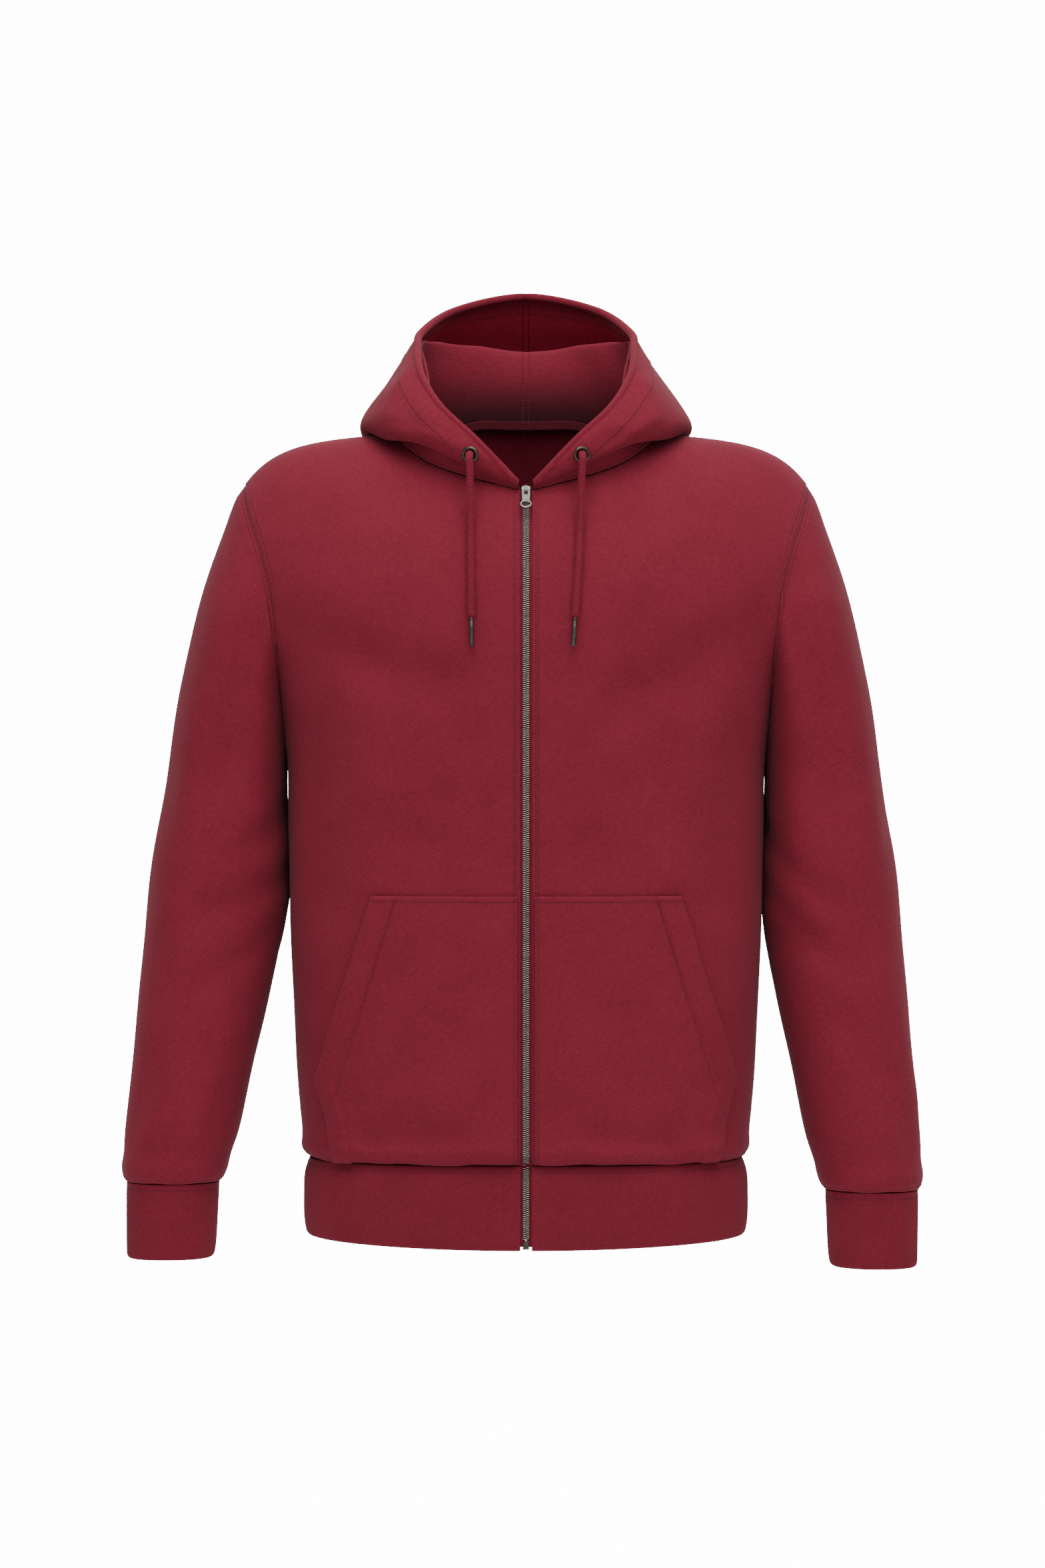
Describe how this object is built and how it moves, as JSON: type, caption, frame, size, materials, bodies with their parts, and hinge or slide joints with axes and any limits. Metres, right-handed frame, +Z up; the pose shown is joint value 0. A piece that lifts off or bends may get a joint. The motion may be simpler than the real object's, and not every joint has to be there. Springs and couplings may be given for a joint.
{
  "type": "zip up hoodie",
  "caption": "Hollow filled-out hoodie with a full front zip, folded-down hood with drawcord, two slanted patch pockets and ribbed hems.",
  "frame": {"origin": "midway between the two points where the neck seam meets the shoulder seams, where the wearer's shoulders carry the garment", "axes": "+Z up, -Y the garment's front, +X the wearer's left"},
  "size_m": [0.684, 0.3328, 0.8392],
  "materials": {
    "fleece": "matt brushed fleece, wine red",
    "rib": "matt rib knit, wine red",
    "zip_tape": "woven tape, wine red",
    "cord": "braided cord, wine red",
    "zip_metal": "antique silver",
    "trim_metal": "gunmetal"
  },
  "bodies": {
    "garment": {"front_left": "fleece", "front_right": "fleece", "back": "fleece", "sleeve_left": "fleece", "sleeve_right": "fleece", "cuff_left": "rib", "cuff_right": "rib", "waistband": "rib", "hood_left": "fleece", "hood_right": "fleece", "neck_tape": "zip_tape", "pocket_left": "fleece", "pocket_right": "fleece", "zip_tape_left": "zip_tape", "zip_tape_right": "zip_tape", "zip_chain": "zip_metal", "zip_slider": "zip_metal", "zip_box": "zip_metal", "eyelet_left": "trim_metal", "eyelet_right": "trim_metal", "drawcord_left": "cord", "drawcord_right": "cord", "aglet_left": "trim_metal", "aglet_right": "trim_metal"},
    "pull_tab": {"pull_tab": "zip_metal"}
  },
  "joints": [
    {"name": "pull_tab_swing", "type": "hinge", "parent": "garment", "child": "pull_tab", "pos_m": [0, -0.09699, -0.05246], "axis": [-1, 0, 0], "range_deg": [0, 150]}
  ]
}
